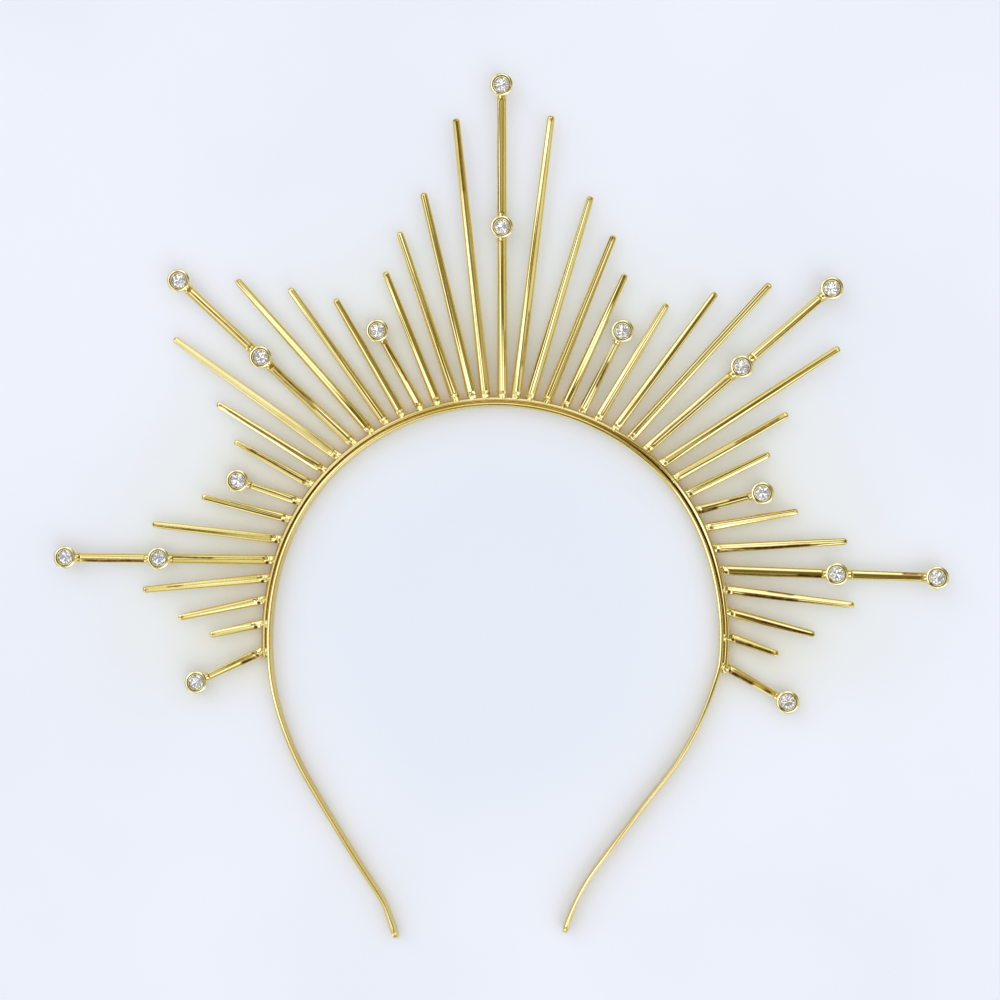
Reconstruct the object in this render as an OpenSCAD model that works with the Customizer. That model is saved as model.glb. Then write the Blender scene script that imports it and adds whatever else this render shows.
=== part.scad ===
// Crown headband: a comb of sunburst rays soldered to a springy head strip, with
// faceted stones in round cups on some of the rays. It lies on the strip's back edge.
// X runs across the head, Y towards the tip of the middle ray and Z up off the surface.

/* [Head strip] */
// Radius of the strip's middle line over the head
head_r = 68.4; // [67:0.2:70]
// Thickness of the strip, across the head
strip_t = 1.2; // [0.9:0.1:1.6]
// Width of the strip, from the surface up
strip_w = 5; // [4.6:0.2:6.4]

/* [Comb] */
// Air between the strip and the comb's rail
rail_gap = 0.5; // [0.3:0.1:0.8]
// Thickness of the rail, outwards from the head
rail_t = 1.3; // [1.2:0.1:1.6]
// Height of the rail
rail_h = 1.6; // [1.4:0.1:2]
// Height of the rail's underside off the surface
rail_z = 2.5; // [2:0.1:2.8]
// Radius of a blob of solder between rail and strip
solder_r = 1.1; // [0.9:0.1:1.2]

/* [Rays] */
// Height of the rays' flat backs off the surface, at the foot
ray_z = 2.8; // [2.6:0.1:3.2]
// Angle that the rays rise at towards their tips
ray_rise = 1.5; // [0.5:0.5:3]
// Half the width of a short ray where it leaves its knuckle
ray_r = 1.3; // [1.2:0.05:1.35]
// Half the width of a short ray at its tip
ray_tip_r = 0.9; // [0.85:0.05:1]
// What each millimetre of a ray's length adds to both
ray_swell = 0.003; // [0:0.001:0.004]
// Half the width at the tip of a ray that carries two cups
long_tip_r = 1.35; // [1.2:0.05:1.4]
// Half the width of the middle ray where it leaves its knuckle
middle_r = 1.5; // [1.4:0.05:1.55]
// Half the width of the knuckle at the foot of a ray
knuckle_r = 1.7; // [1.6:0.05:1.85]
// Length of the knuckle
knuckle_l = 2.2; // [1.8:0.1:3.2]

/* [Cups and stones] */
// Outer radius of a cup
cup_r = 3.4; // [3.2:0.1:3.8]
// Height of a cup
cup_h = 3.2; // [3.1:0.1:3.6]
// Depth that a cup reaches below the back of its ray
cup_drop = 1.2; // [1:0.1:1.5]
// How far the collar that joins a cup to its ray stands out from the ray
collar_lip = 0.3; // [0.2:0.05:0.4]
// Length of that collar
collar_l = 1.6; // [1.2:0.1:2]
// Radius of a stone at its girdle
stone_r = 2.35; // [2.3:0.05:2.45]
// Height of a stone's crown, from girdle to table
crown_h = 0.65; // [0.5:0.05:0.7]
// Air between a stone and its cup
stone_gap = 0.1; // [0.05:0.01:0.12]

/* [Hidden] */
$fn = 64;
LEFT = -1;
RIGHT = 1;

// Columns of the table of rays. A foot's angle runs round the head from the strip's middle
// and a ray's aim is its own angle from straight up, both outwards on its side, in degrees.
// Lengths run from the rail to a plain ray's tip or to the middle of a cup.
FOOT_LEFT = 0;
FOOT_RIGHT = 1;
AIM_LEFT = 2;
AIM_RIGHT = 3;
LENGTH_LEFT = 4;
LENGTH_RIGHT = 5;
MID_CUP = 6;
END_CUP = 7;

// The middle ray, and then a row for each pair of rays, from the middle out. The comb sits
// a little to the right of the strip's middle.
RAYS = [
    [-2.3, 2.3, 0, 0, 92.2, 92.2, 50, true],
    [1.8, 5.6, 6, 7.3, 83, 84, 0, false],
    [5, 9, 13.5, 17, 62.5, 62.5, 0, false],
    [9.2, 13.2, 18.5, 22.2, 52.5, 53, 0, false],
    [13.7, 17.7, 21.7, 24.8, 42, 43, 0, false],
    [18, 22, 29, 27, 26, 26.8, 0, true],
    [22.8, 26.3, 30, 31, 39.8, 39.8, 0, false],
    [27.2, 31, 35.7, 36.7, 49.3, 50, 0, false],
    [31.5, 35.3, 41.5, 42.3, 60.5, 61.5, 0, false],
    [36.7, 40, 47, 49, 71.4, 72.4, 37.5, true],
    [41.7, 45, 54.3, 56.9, 60.5, 62.6, 0, false],
    [46.5, 49.7, 58, 60.2, 37.5, 38.5, 0, false],
    [51.1, 54.5, 61, 64, 26, 27.2, 0, false],
    [56.3, 59, 71.6, 75.4, 18.9, 19.8, 0, true],
    [61.3, 63.7, 76, 80, 26.5, 27.3, 0, false],
    [66.9, 69.2, 83.3, 86.8, 38, 38.6, 0, false],
    [72.3, 74.7, 89.4, 91.8, 61.8, 62.5, 33.3, true],
    [77, 79.5, 95.5, 96.8, 37, 37.4, 0, false],
    [82.5, 85, 102, 104.5, 25.3, 25.5, 0, false],
    [88.3, 91, 102.7, 109.5, 15, 14.6, 0, false],
    [95.2, 98.4, 115.3, 119.6, 20.8, 19.7, 0, true],
];

// Columns of the tables of strip pieces
RUN = 0;
TURN = 1;

function radians(angle) = angle * PI / 180;

// Pieces of the strip from the top of the head down to each end. A piece is RUN long and
// turns by TURN degrees on the way, towards the head where that is above zero.
LEFT_ARM = [[head_r * radians(96), 96], [14, 8], [26, 16.5], [40, 3.5], [6, -15], [6, 0]];
RIGHT_ARM = [[head_r * radians(97), 97], [2, 9.5], [9, 2.5], [28, 19], [33, -1], [18, -17.5], [2, 0]];

// Where solder shows between rail and strip, from the strip's middle, right above zero
SOLDER_ANGLES = [-95, -88, 91, 98];

// Radii from the middle of the head outwards
rail_r = head_r + strip_t / 2 + rail_gap;
foot_r = rail_r + rail_t + 0.4;
solder_at = rail_r - rail_gap / 2;
// Solder stands this far over and under the rail
solder_lap = 0.3;
// The rail runs this many degrees past the last foot on each side
rail_spare = 2;
rail_left = RAYS[len(RAYS) - 1][FOOT_LEFT] + rail_spare;
rail_right = RAYS[len(RAYS) - 1][FOOT_RIGHT] + rail_spare;
// Depth that a knuckle reaches into the rail
root = 1;
// A knuckle keeps its full width up to here
knuckle_flat = 0.6;
// Straight sides on the round of a tip, and the angle at which a small flat ends it
tip_sides = 5;
tip_round = 75;
// Collars reach this far into a cup's wall, and stand this high over the ray's back
collar_bite = 0.6;
collar_z = 0.3;
// The strip is bent in steps of at most this many degrees
step_turn = 3;
// Angle at which the round of the strip's end leaves its edges
end_round = 80;

// Height of the seat for a stone's girdle over a cup's underside, and the girdle's thickness
girdle_z = 2.15;
girdle_h = 0.2;
// Radius of the opening in the lip, which holds the stone in
lip_r = stone_r - 0.15;
lip_flare = 0.4;
// Thickness of metal under the point of a stone, and the radius of the flat there
cup_floor = 0.6;
floor_r = 0.2;
pavilion_h = girdle_z - cup_floor - stone_gap;
// Table and star facets as parts of the girdle's radius
table_r = 0.56 * stone_r;
star_r = 0.78 * stone_r;

// State of the strip along an arm: how far it has run outwards and down from the top of the
// head, and its heading in degrees below level
OUT = 0;
DOWN = 1;
HEADING = 2;

// The state at a part of a piece, from the state in which the piece starts. A piece that
// turns is an arc of a circle.
function along(state, piece, part) =
    let (heading = state[HEADING] + piece[TURN] * part, run = piece[RUN] * part)
    piece[TURN] == 0
    ? [state[OUT] + run * cos(heading), state[DOWN] + run * sin(heading), heading]
    : let (bend_r = piece[RUN] / radians(piece[TURN]))
      [state[OUT] + bend_r * (sin(heading) - sin(state[HEADING])),
       state[DOWN] + bend_r * (cos(state[HEADING]) - cos(heading)), heading];

// The states at the ends of all of an arm's steps
function states(arm, state = [0, 0, 0], i = 0) = i == len(arm) ? [state]
    : let (steps = ceil(abs(arm[i][TURN]) / step_turn) + 1)
      concat([for (k = [0:steps - 1]) along(state, arm[i], k / steps)],
             states(arm, along(state, arm[i], 1), i + 1));

function last(list) = list[len(list) - 1];
function past_first(list) = [for (i = [1:len(list) - 1]) list[i]];
function reversed(list) = [for (i = [len(list) - 1:-1:0]) list[i]];

// One edge of an arm seen from above, with the middle of the head at the origin. It lies that
// far from the arm's middle line, and runs on past the last piece for the tongue.
function arm_edge(arm, side, away) = [for (state = states(concat(arm, [[strip_w / 2, 0]])))
    [side * (state[OUT] + away * sin(state[HEADING])), head_r - state[DOWN] + away * cos(state[HEADING])]];

function strip_outline(half) = concat(
    arm_edge(RIGHT_ARM, RIGHT, half), reversed(arm_edge(RIGHT_ARM, RIGHT, -half)),
    past_first(arm_edge(LEFT_ARM, LEFT, -half)), reversed(past_first(arm_edge(LEFT_ARM, LEFT, half))));

// The middle of the head lies on X = 0, as far back as puts the whole part's middle on Y = 0
front_reach = foot_r * cos(RAYS[0][FOOT_RIGHT]) + RAYS[0][LENGTH_RIGHT] * cos(ray_rise) + cup_r;
back_reach = -min([for (corner = strip_outline(strip_t / 2)) corner[1]]);
head_y = (back_reach - front_reach) / 2;

// Every ray as its side and its row, the middle ray once
PLACES = concat([[RIGHT, 0]], [for (row = [1:len(RAYS) - 1]) for (side = [LEFT, RIGHT]) [side, row]]);

function on_side(place, left_column, right_column) =
    RAYS[place[1]][place[0] == LEFT ? left_column : right_column];
function length(place) = on_side(place, LENGTH_LEFT, LENGTH_RIGHT);

// Distances along a ray at which it carries cups
function cups(place) = let (ray = RAYS[place[1]])
    concat(ray[MID_CUP] > 0 ? [ray[MID_CUP]] : [], ray[END_CUP] ? [length(place)] : []);

function side_name(place) = place[1] == 0 ? "middle"
    : str(place[0] == LEFT ? "left_" : "right_", place[1]);
function cup_name(place, distance) = RAYS[place[1]][MID_CUP] == 0 ? ""
    : distance == RAYS[place[1]][MID_CUP] ? "_mid" : "_tip";

// Every stone as its node's name, the place of its ray and its distance along it
STONES = [for (place = PLACES) for (distance = cups(place))
          [str("stone_", side_name(place), cup_name(place, distance)), place, distance]];

// Puts what follows at the foot of a ray, with +Y along the ray and its back on Z = 0
module at_ray(place) {
    side = place[0];
    foot = on_side(place, FOOT_LEFT, FOOT_RIGHT);
    aim = on_side(place, AIM_LEFT, AIM_RIGHT);
    translate([side * foot_r * sin(foot), head_y + foot_r * cos(foot), ray_z])
        rotate([0, 0, -side * aim])
            rotate([ray_rise, 0, 0])
                children();
}

// What is cut off the end of an arm to leave a round tongue, where the arm heads along +X
// and its last piece stops at the origin
module tongue_corners() {
    half = strip_w / 2;
    rotate([90, 0, 0])
        difference() {
            translate([half * cos(end_round), -1, -strip_t])
                cube([half + 1, strip_w + 2, 2 * strip_t]);
            translate([0, half, -1.5 * strip_t])
                cylinder(h = 3 * strip_t, r = half);
        }
}

// The strip over the head, which grips it between two springy arms
module head_strip() {
    left_end = last(states(LEFT_ARM));
    right_end = last(states(RIGHT_ARM));
    translate([0, head_y, 0])
        difference() {
            linear_extrude(height = strip_w)
                polygon(strip_outline(strip_t / 2));
            translate([-left_end[OUT], head_r - left_end[DOWN], 0])
                rotate([0, 0, 180 + left_end[HEADING]])
                    tongue_corners();
            translate([right_end[OUT], head_r - right_end[DOWN], 0])
                rotate([0, 0, -right_end[HEADING]])
                    tongue_corners();
        }
}

// The thin curved rail that the feet of the rays stand on
module rail() {
    translate([0, head_y, rail_z])
        rotate_extrude(angle = rail_left + rail_right, start = 90 - rail_right)
            translate([rail_r, 0])
                square([rail_t, rail_h]);
}

// Half the width of a ray where it leaves its knuckle, at its tip and in between
function foot_half(place) = place[1] == 0 ? middle_r : ray_r + ray_swell * length(place);
function tip_half(place) = RAYS[place[1]][MID_CUP] > 0 ? long_tip_r
    : ray_tip_r + ray_swell * length(place);
function half_at(place, distance) = foot_half(place) + (tip_half(place) - foot_half(place))
    * (distance - knuckle_l) / (length(place) - tip_half(place) - knuckle_l);

// Half round bar with a knuckle at its foot and a rounded tip
function bar_outline(foot, tip, length) = concat(
    [[0, -root], [knuckle_r, -root], [knuckle_r, knuckle_flat], [foot, knuckle_l]],
    [for (i = [0:tip_sides])
        let (angle = tip_round * i / tip_sides)
        [tip * cos(angle), length - tip + tip * sin(angle)]],
    [[0, length - tip + tip * sin(tip_round)]]);

module bar(foot, tip, length) {
    rotate([-90, 0, 0])
        rotate_extrude(angle = 180, start = 180)
            polygon(bar_outline(foot, tip, length));
}

// Round cup with its underside on Z = 0, before it is hollowed
module cup_body() {
    rotate_extrude()
        polygon([[0, 0], [cup_r - 0.9, 0], [cup_r - 0.5, 0.3], [cup_r, cup_h - 1], [cup_r, cup_h - 0.4],
                 [cup_r - 0.3, cup_h], [0, cup_h]]);
}

// Room for the stone: a cone with a small flat under the stone's point, a seat for its
// girdle, and the opening in the lip
module cup_hollow() {
    seat_r = stone_r + stone_gap;
    rotate_extrude()
        polygon([[0, cup_floor], [floor_r, cup_floor], [seat_r, girdle_z - stone_gap],
                 [seat_r, girdle_z + girdle_h + stone_gap],
                 [lip_r, girdle_z + girdle_h + 2.5 * stone_gap], [lip_r, cup_h - lip_flare],
                 [lip_r + lip_flare, cup_h + 0.1], [0, cup_h + 0.1]]);
}

module collar(half) {
    translate([0, 0, collar_z])
        rotate([-90, 0, 0])
            cylinder(h = collar_l, r = half + collar_lip);
}

// One ray of the comb, with the cups that it carries
module ray(place) {
    carried = cups(place);
    difference() {
        union() {
            bar(foot_half(place), tip_half(place), length(place));
            for (distance = carried) {
                translate([0, distance, -cup_drop]) cup_body();
                translate([0, distance - cup_r - collar_l + collar_bite, 0])
                    collar(half_at(place, distance - cup_r - collar_l));
                if (distance < length(place))
                    translate([0, distance + cup_r - collar_bite, 0])
                        collar(half_at(place, distance));
            }
        }
        for (distance = carried)
            translate([0, distance, -cup_drop]) cup_hollow();
    }
}

module solder(angle) {
    translate([solder_at * sin(angle), head_y + solder_at * cos(angle), rail_z - solder_lap])
        cylinder(h = rail_h + 2 * solder_lap, r = solder_r);
}

// All the metal, soldered into one piece: the strip, and the cast comb of rail, rays and cups
module crown_frame() {
    color([0.85, 0.68, 0.32])
        union() {
            head_strip();
            rail();
            for (place = PLACES)
                at_ray(place) ray(place);
            for (angle = SOLDER_ANGLES)
                solder(angle);
        }
}

// A ring of n points, turned by half a step where shift is a half
function ring(n, radius, z, shift = 0) = [for (i = [0:n - 1])
    let (angle = 360 * (i + shift) / n)
    [radius * cos(angle), radius * sin(angle), z]];

// Round brilliant with its girdle's underside on Z = 0: a table of 8 sides, 8 stars,
// 8 kites and 16 upper facets, then the girdle, and 16 facets down to the point.
// The star points lie on the line from table to girdle, so that each kite is flat.
module brilliant() {
    slope = (star_r * cos(22.5) - table_r) / (stone_r - table_r);
    star_z = girdle_h + crown_h * (1 - slope);
    points = concat(ring(8, table_r, girdle_h + crown_h), ring(8, star_r, star_z, 0.5),
                    ring(16, stone_r, girdle_h), ring(16, stone_r, 0), [[0, 0, -pavilion_h]]);
    top = 0;
    star = 8;
    upper = 16;
    lower = 32;
    point = 48;
    polyhedron(points, concat(
        [[for (k = [7:-1:0]) top + k]],
        [for (k = [0:7]) [top + k, top + (k + 1) % 8, star + k]],
        [for (k = [0:7]) [top + k, star + k, upper + 2 * k, star + (k + 7) % 8]],
        [for (k = [0:7]) [star + k, upper + 2 * k + 1, upper + 2 * k]],
        [for (k = [0:7]) [star + k, upper + (2 * k + 2) % 16, upper + 2 * k + 1]],
        [for (j = [0:15]) [upper + j, upper + (j + 1) % 16, lower + (j + 1) % 16, lower + j]],
        [for (j = [0:15]) [lower + j, lower + (j + 1) % 16, point]]));
}

// One stone in its cup
module stone_piece(place, distance) {
    color([0.93, 0.95, 0.98])
        at_ray(place)
            translate([0, distance, girdle_z - cup_drop])
                brilliant();
}

crown_frame();
for (stone = STONES)
    stone_piece(stone[1], stone[2]);
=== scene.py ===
# %% [markdown]
# # A crown headband in polished gold
#
# The object is a springy head strip with a sunburst comb of 41 rays soldered to it, and 16 clear
# stones in round cups. It lies on a pale table and is seen from above. This lesson loads the plain
# solids as a fixed frame, then builds each visible piece again as a surface of numpy arrays, with
# the rounded edges, creases and uneven castings that make polished metal look real.

import bpy
import numpy as np
from mathutils import Matrix, Vector


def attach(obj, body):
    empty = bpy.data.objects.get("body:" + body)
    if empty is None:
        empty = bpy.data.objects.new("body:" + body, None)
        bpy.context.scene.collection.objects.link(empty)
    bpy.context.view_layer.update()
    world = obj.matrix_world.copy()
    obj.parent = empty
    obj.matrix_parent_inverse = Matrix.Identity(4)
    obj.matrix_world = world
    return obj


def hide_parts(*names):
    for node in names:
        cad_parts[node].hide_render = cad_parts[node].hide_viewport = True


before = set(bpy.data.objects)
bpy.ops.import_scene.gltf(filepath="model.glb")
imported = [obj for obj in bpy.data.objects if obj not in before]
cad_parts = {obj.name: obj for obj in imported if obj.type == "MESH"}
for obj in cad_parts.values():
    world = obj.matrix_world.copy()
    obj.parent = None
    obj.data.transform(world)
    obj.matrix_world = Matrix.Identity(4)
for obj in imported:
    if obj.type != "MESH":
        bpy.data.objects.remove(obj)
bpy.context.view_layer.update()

MM = 0.001
scene = bpy.context.scene

# %% [markdown]
# ## The camera
#
# The crown was photographed from a little to the right of its middle, at arm's length above the
# table. A long lens at that height keeps the rays nearly parallel to the picture, and the small
# sideways step shows the inner face of the left arm. The camera is turned by its three axes rather
# than by angles, because a camera that looks straight down has no clear sideways angle.

# %% Camera
camera_place = Vector((46.2, 2.45, 620)) * MM
camera_target = Vector((2.2, 2.45, 3.5)) * MM
lens_mm, sensor_mm = 74.4, 36

ahead = (camera_target - camera_place).normalized()
across = ahead.cross(Vector((0, 1, 0))).normalized()
upward = across.cross(ahead)

lens = bpy.data.cameras.new("camera")
lens.lens, lens.sensor_width = lens_mm, sensor_mm
lens.clip_start, lens.clip_end = 0.05, 20
camera = bpy.data.objects.new("camera", lens)
camera.matrix_world = Matrix((
    (across.x, upward.x, -ahead.x, camera_place.x),
    (across.y, upward.y, -ahead.y, camera_place.y),
    (across.z, upward.z, -ahead.z, camera_place.z),
    (0, 0, 0, 1)))
scene.collection.objects.link(camera)
scene.camera = camera
scene.view_settings.view_transform = "Standard"
print("camera", round((camera_place - camera_target).length, 3), "m from the crown")

# %% [markdown]
# ## Shader maths as Python
#
# A finish is a small sum: this much of one colour where a mask is high, more roughness where the
# casting is worn. Such sums could be wired by hand, node by node. Here one class wraps an output
# socket, so that a line like `0.1 + 0.2 * wear` adds its Math nodes by itself.

# %% A socket that can be added and multiplied
class Wire:
    """An output in a shader tree. Arithmetic on wires and numbers adds Math nodes to the tree."""

    def __init__(self, tree, socket=None):
        self.tree, self.socket = tree, socket

    def add(self, kind, settings=(), inputs=(), output=0):
        """A new node: its settings first, then the numbers, colours or wires of its sockets."""
        made = self.tree.nodes.new("ShaderNode" + kind)
        for name, value in dict(settings).items():
            setattr(made, name, value)
        for name, value in dict(inputs).items():
            if isinstance(value, Wire):
                self.tree.links.new(value.socket, made.inputs[name])
            else:
                made.inputs[name].default_value = value
        return Wire(self.tree, made.outputs[output] if len(made.outputs) else None)

    def maths(self, operation, *values):
        return self.add("Math", {"operation": operation}, enumerate(values))

    def dot(self, first, second):
        """The dot product of two vectors."""
        return self.add("VectorMath", {"operation": "DOT_PRODUCT"}, {0: first, 1: second}, output="Value")

    def noise(self, place, scale, detail):
        return self.add("TexNoise", {}, {"Vector": place, "Scale": scale, "Detail": detail})

    def surface(self, sockets):
        """A principled surface with these sockets, as the material's output."""
        made = self.add("BsdfPrincipled", {}, sockets)
        self.add("OutputMaterial", {}, {"Surface": made})

    def __add__(self, other):
        return self.maths("ADD", self, other)

    def __sub__(self, other):
        return self.maths("SUBTRACT", self, other)

    def __rsub__(self, other):
        return self.maths("SUBTRACT", other, self)

    def __mul__(self, other):
        return self.maths("MULTIPLY", self, other)

    __radd__ = __add__
    __rmul__ = __mul__

    def step(self, low, high, to_low=0.0, to_high=1.0):
        """A smooth step: to_low where the value is under low, to_high where it is over high."""
        return self.add("MapRange", {"interpolation_type": "SMOOTHSTEP"}, {
            "Value": self, "From Min": low, "From Max": high, "To Min": to_low, "To Max": to_high})

    def mix(self, first, second):
        """The first colour where this wire is 0 and the second where it is 1."""
        return self.add("Mix", {"data_type": "RGBA"}, {0: self, 6: first, 7: second}, output=2)


def new_tree(holder):
    """An empty node tree on a material or a world, as a wire to add nodes to."""
    holder.use_nodes = True
    holder.node_tree.nodes.clear()
    return Wire(holder.node_tree)


def new_finish(name):
    """A material, its empty tree, and a wire with the place of the point that is looked at."""
    material = bpy.data.materials.new(name)
    start = new_tree(material)
    return material, start, start.add("TexCoord", output="Object")


def colour(red, green, blue):
    return (red, green, blue, 1.0)


# %% [markdown]
# ## The table
#
# The crown lies on a smooth white board. A bare white plane would do, but a real board has faint
# clouds, so a broad noise varies its white by about one part in twenty. Gold throws warm light on
# a board that it lies on, and path tracing meets that light only by chance. So that light is
# painted into the board: its colour is warmer in a ring outside the strip, where the rays stand,
# and it glows a little next to the rail, as a painted glow. Inside the band the board is painted a
# little darker and bluer, as painted shade. It lies a hair under the strip, so no two faces share
# a plane.

# %% Table
table_size = 6.0
table_drop = 0.02 * MM
# How far the middle of the head's circle lies from the origin, along Y in mm
head_mm = -37.197


def table_finish():
    material, start, place = new_finish("table")
    clouds = start.noise(place, 7.0, 3.0)
    shade = clouds.step(0.35, 0.65).mix(colour(0.785, 0.835, 0.93), colour(0.825, 0.87, 0.965))
    from_head = start.add("VectorMath", {"operation": "SUBTRACT"}, {0: place, 1: (0, head_mm * MM, 0)})
    reach = start.add("VectorMath", {"operation": "LENGTH"}, {0: from_head}, output="Value") * (1 / MM)
    toward = start.add("VectorMath", {"operation": "NORMALIZE"}, {0: from_head})
    upward = start.dot(toward, (0, 1, 0))
    outside = reach.step(68.0, 69.5) * upward.step(-0.35, 0.0)
    # Painted shade: the board is darker and bluer inside the band
    shade = reach.step(25, 90, 0.7, 0.0).mix(shade, colour(0.73, 0.80, 0.90))
    # Painted warm light from the gold: less blue in a wide ring outside the strip, and warmer nearer in
    shade = (outside * reach.step(100, 142, 1, 0)).mix(shade, colour(0.79, 0.835, 0.86))
    shade = (outside * reach.step(78, 108, 1, 0)).mix(shade, colour(0.755, 0.765, 0.70))
    # Painted glow: the board gives off a little warm light next to the rail, as if lit by the gold
    near_rail = outside * reach.step(71, 80, 1, 0) * upward.step(0.2, 0.95, 0.45, 1.0)
    painted_glow = near_rail.mix(colour(0, 0, 0), colour(0.085, 0.04, 0.0))
    start.surface({
        "Base Color": shade, "Roughness": 0.6, "Specular IOR Level": 0.2,
        "Emission Color": painted_glow, "Emission Strength": 1.0})
    return material


half = table_size / 2
corners = [(-half, -half, -table_drop), (half, -half, -table_drop),
           (half, half, -table_drop), (-half, half, -table_drop)]
table_mesh = bpy.data.meshes.new("table")
table_mesh.from_pydata(corners, [], [(0, 1, 2, 3)])
table_mesh.materials.append(table_finish())
table = bpy.data.objects.new("table", table_mesh)
scene.collection.objects.link(table)
print("table", table_size, "m wide")

# %% [markdown]
# ## The room that the metal mirrors
#
# Polished metal has no look of its own: it shows the room. The camera hangs over the table, so the
# spot straight above is dark, the walls around it are bright and the far corners are dim. Lamps
# and cards could be set up for that. A world whose brightness depends on the direction gives the
# same mirror image with less noise, and it is a sum of a few soft patches. On a world, the
# Generated coordinates are the direction that is looked at.

# %% Directions
room = bpy.data.worlds.new("room")
scene.world = room
start = new_tree(room)
direction = start.add("TexCoord", output="Generated")
height = start.dot(direction, (0, 0, 1))
from_top = start.maths("ARCCOSINE", height) * (180 / np.pi)


def patch(azimuth, off_top, half_angle, soft):
    """1 inside a round patch of room and 0 outside it, with an edge that many degrees soft. Its
    middle is given by the azimuth from +X round to +Y and the angle from straight up."""
    a, t = np.radians((azimuth, off_top))
    middle = (np.cos(a) * np.sin(t), np.sin(a) * np.sin(t), np.cos(t))
    edge, full = np.cos(np.radians((half_angle + soft, half_angle)))
    return start.dot(direction, middle).step(edge, full)


# %% What the metal mirrors
walls = 0.19 + from_top.step(11, 17, 0, 0.34) + from_top.step(17, 34, 0, 0.27)
walls = walls - from_top.step(55, 80, 0, 0.37) - from_top.step(80, 100, 0, 0.08)
windows = 0.75 * patch(185, 24, 14, 6) + 0.80 * patch(277, 28, 14, 6) + 0.36 * patch(78, 38, 16, 6)
windows = windows + 0.85 * patch(238, 78, 14, 4) + 0.32 * patch(143, 48, 16, 4)
windows = windows + 0.52 * patch(314, 52, 14, 4)
dim = 0.50 * patch(35, 46, 18, 6) + 0.28 * patch(335, 28, 12, 4) + 0.70 * patch(248, 28, 12, 4)
dim = dim + 0.16 * patch(276, 80, 12, 4) + 0.20 * patch(85, 92, 16, 6) + 0.80 * patch(145, 92, 18, 6)
level = start.maths("MAXIMUM", walls + windows - dim, 0.05)
level = level * (0.88 + 0.20 * level)

# Dim parts of the room are warm and bright ones blue, which the gold's yellow turns to white
mild = level.step(0.12, 0.90).mix(colour(1.0, 0.88, 0.62), colour(1.0, 1.11, 1.74))
daylight = level.step(0.85, 1.30).mix(mild, colour(1.0, 1.19, 2.9))
metal_light = start.add("Background", {}, {"Color": daylight, "Strength": level})

# %% [markdown]
# ## One light for each kind of ray
#
# One room could light everything, but the one above is drawn for its mirror image, and its blue
# windows would tint the table. So the world answers by the kind of ray. Gold mirrors the room, a
# ray inside a stone sees a pattern of flashes, and the camera sees a plain backdrop behind the
# table's edge. The table, also by way of the gold, is lit by two broad lamps and by an even light
# that is stronger overhead.

# %% What lights the table, and what the stones show
lamps = 0.5 * patch(137, 50, 17, 14) + 0.7 * patch(-52, 42, 17, 14)
lamp_light = start.add("Background", {}, {"Color": colour(0.97, 1.0, 1.04), "Strength": lamps})
overhead = 0.74 + from_top.step(15, 60, 0.42, 0.0)
wall_light = start.add("Background", {}, {"Color": colour(1.0, 0.975, 0.95), "Strength": overhead})
table_light = start.add("AddShader", {}, {0: lamp_light, 1: wall_light})

sparkle = start.add("TexVoronoi", {}, {"Vector": direction, "Scale": 3.2}, output="Distance")
flash = sparkle.step(0.26, 0.52, 2.0, 0.34)
stone_light = start.add("Background", {}, {"Color": colour(1.0, 0.985, 0.93), "Strength": flash})
backdrop = start.add("Background", {}, {"Color": colour(0.78, 0.82, 0.87), "Strength": 1.0})

from_board = start.maths("MINIMUM", start.add("LightPath", output="Diffuse Depth"), 1.0)
in_metal = start.add("MixShader", {}, {0: from_board, 1: metal_light, 2: table_light})

light = table_light
for kind, seen in (("Glossy", in_metal), ("Transmission", stone_light), ("Camera", backdrop)):
    asked = start.add("LightPath", output=f"Is {kind} Ray")
    light = start.add("MixShader", {}, {0: asked, 1: light, 2: seen})
start.add("OutputWorld", {}, {"Surface": light})
print(len(room.node_tree.nodes), "nodes of room")

# %% [markdown]
# ## Gold plate
#
# The crown is cast and stamped metal with a bright yellow plate. One flat yellow would look like
# paint: real plate varies in depth and polish, and it has fine casting pits. Brown is painted shade
# in the seam, on the rail's back, in the cups' grooves and bowls and in the pits at the feet, and
# painted dark reflection along some rays; at the collars' joints and some tips it is the plate's
# own brown. The rims of the cups are painted pale, as a highlight. A painted picture could say
# where. Here a number at each point of the mesh, called tarnish_and_painted_light, follows each
# piece's own shape: brown is above nought, and pale below it.

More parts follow.
